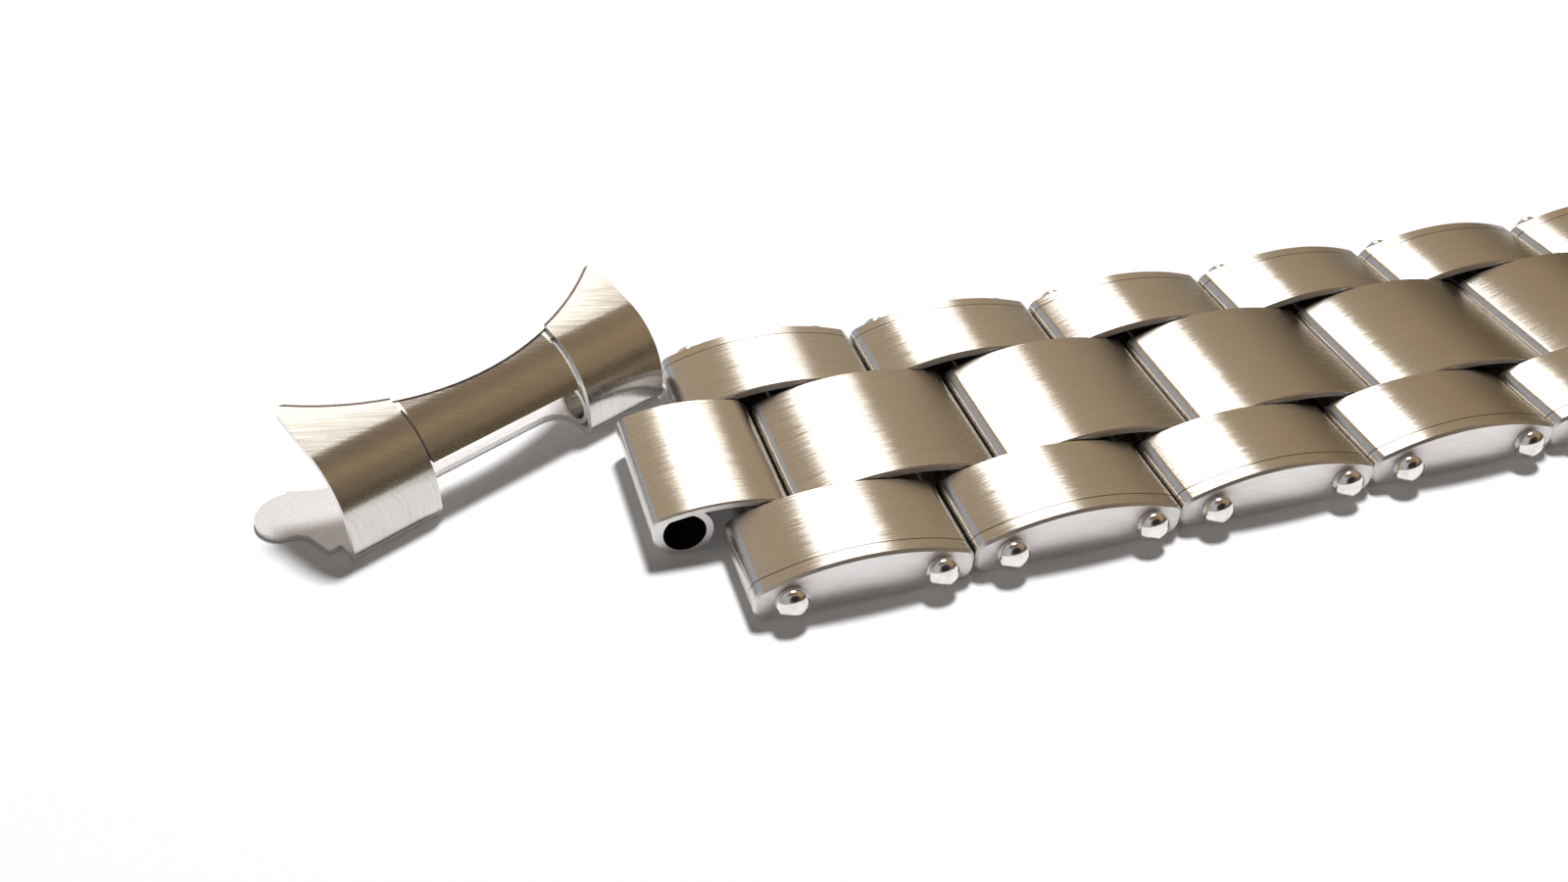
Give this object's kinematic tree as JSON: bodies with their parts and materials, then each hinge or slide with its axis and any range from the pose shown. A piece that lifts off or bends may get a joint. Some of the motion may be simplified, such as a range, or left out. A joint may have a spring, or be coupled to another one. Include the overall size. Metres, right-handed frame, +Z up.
{
  "type": "link watch bracelet",
  "caption": "Half of a riveted steel link watch bracelet laid flat: folded outer and centre links hinged on rivets, a short end link for the spring bar, and a loose curved end piece.",
  "frame": {"origin": "middle of the short end link's spring bar tube, on its axis", "axes": "+X along the strip from the case end towards the clasp end, +Y along the rivets, +Z up out of the faces seen when worn"},
  "size_m": [0.0935, 0.0259, 0.0064],
  "materials": {
    "brushed_tops": "brushed along the strip",
    "satin_sides": "fine satin",
    "polished_rivets": "polished",
    "end_sheet": "brushed across its width"
  },
  "bodies": {
    "short_end_link": {"short_end_link": "brushed_tops"},
    "row_1_outer_pair": {"row_1_outer_shells": "brushed_tops", "row_1_end_plates": "satin_sides", "row_1_rivets": "polished_rivets"},
    "row_1_centre": {"row_1_centre_link": "brushed_tops"},
    "row_2_outer_pair": {"row_2_outer_shells": "brushed_tops", "row_2_end_plates": "satin_sides", "row_2_rivets": "polished_rivets"},
    "row_2_centre": {"row_2_centre_link": "brushed_tops"},
    "row_3_outer_pair": {"row_3_outer_shells": "brushed_tops", "row_3_end_plates": "satin_sides", "row_3_rivets": "polished_rivets"},
    "row_3_centre": {"row_3_centre_link": "brushed_tops"},
    "row_4_outer_pair": {"row_4_outer_shells": "brushed_tops", "row_4_end_plates": "satin_sides", "row_4_rivets": "polished_rivets"},
    "row_4_centre": {"row_4_centre_link": "brushed_tops"},
    "row_5_outer_pair": {"row_5_outer_shells": "brushed_tops", "row_5_end_plates": "satin_sides", "row_5_rivets": "polished_rivets"},
    "row_5_centre": {"row_5_centre_link": "brushed_tops"},
    "row_6_outer_pair": {"row_6_outer_shells": "brushed_tops", "row_6_end_plates": "satin_sides", "row_6_rivets": "polished_rivets"},
    "row_6_centre": {"row_6_centre_link": "brushed_tops"},
    "end_piece": {"end_piece": "end_sheet"}
  },
  "joints": [
    {"name": "row_4_outer_hinge", "type": "hinge", "parent": "row_3_centre", "child": "row_4_outer_pair", "pos_m": [0.03749, 0, -0.00024], "axis": [0, 1, 0], "range_deg": [-8, 25]},
    {"name": "row_4_centre_hinge", "type": "hinge", "parent": "row_4_outer_pair", "child": "row_4_centre", "pos_m": [0.04499, 0, -0.00024], "axis": [0, 1, 0], "range_deg": [-4, 6]},
    {"name": "row_5_outer_hinge", "type": "hinge", "parent": "row_4_centre", "child": "row_5_outer_pair", "pos_m": [0.04874, 0, -0.00024], "axis": [0, 1, 0], "range_deg": [-8, 25]},
    {"name": "row_5_centre_hinge", "type": "hinge", "parent": "row_5_outer_pair", "child": "row_5_centre", "pos_m": [0.05624, 0, -0.00024], "axis": [0, 1, 0], "range_deg": [-4, 6]},
    {"name": "row_6_outer_hinge", "type": "hinge", "parent": "row_5_centre", "child": "row_6_outer_pair", "pos_m": [0.05999, 0, -0.00024], "axis": [0, 1, 0], "range_deg": [-8, 25]},
    {"name": "row_6_centre_hinge", "type": "hinge", "parent": "row_6_outer_pair", "child": "row_6_centre", "pos_m": [0.06749, 0, -0.00024], "axis": [0, 1, 0], "range_deg": [-4, 6]},
    {"name": "row_3_centre_hinge", "type": "hinge", "parent": "row_3_centre", "child": "row_3_outer_pair", "pos_m": [0.03374, 0, -0.00024], "axis": [0, 1, 0], "range_deg": [-6, 4]},
    {"name": "row_3_outer_hinge", "type": "hinge", "parent": "row_3_outer_pair", "child": "row_2_centre", "pos_m": [0.02624, 0, -0.00024], "axis": [0, 1, 0], "range_deg": [-25, 8]},
    {"name": "row_2_centre_hinge", "type": "hinge", "parent": "row_2_centre", "child": "row_2_outer_pair", "pos_m": [0.02249, 0, -0.00024], "axis": [0, 1, 0], "range_deg": [-6, 4]},
    {"name": "row_2_outer_hinge", "type": "hinge", "parent": "row_2_outer_pair", "child": "row_1_centre", "pos_m": [0.01499, 0, -0.00024], "axis": [0, 1, 0], "range_deg": [-25, 8]},
    {"name": "row_1_centre_hinge", "type": "hinge", "parent": "row_1_centre", "child": "row_1_outer_pair", "pos_m": [0.01124, 0, -0.00024], "axis": [0, 1, 0], "range_deg": [-6, 4]},
    {"name": "row_1_outer_hinge", "type": "hinge", "parent": "row_1_outer_pair", "child": "short_end_link", "pos_m": [0.00374, 0, -0.00024], "axis": [0, 1, 0], "range_deg": [-25, 8]},
    {"name": "end_piece_slide", "type": "slide", "parent": "row_3_centre", "child": "end_piece", "axis": [-1, 0, 0], "range_m": [0, 0.02]}
  ]
}
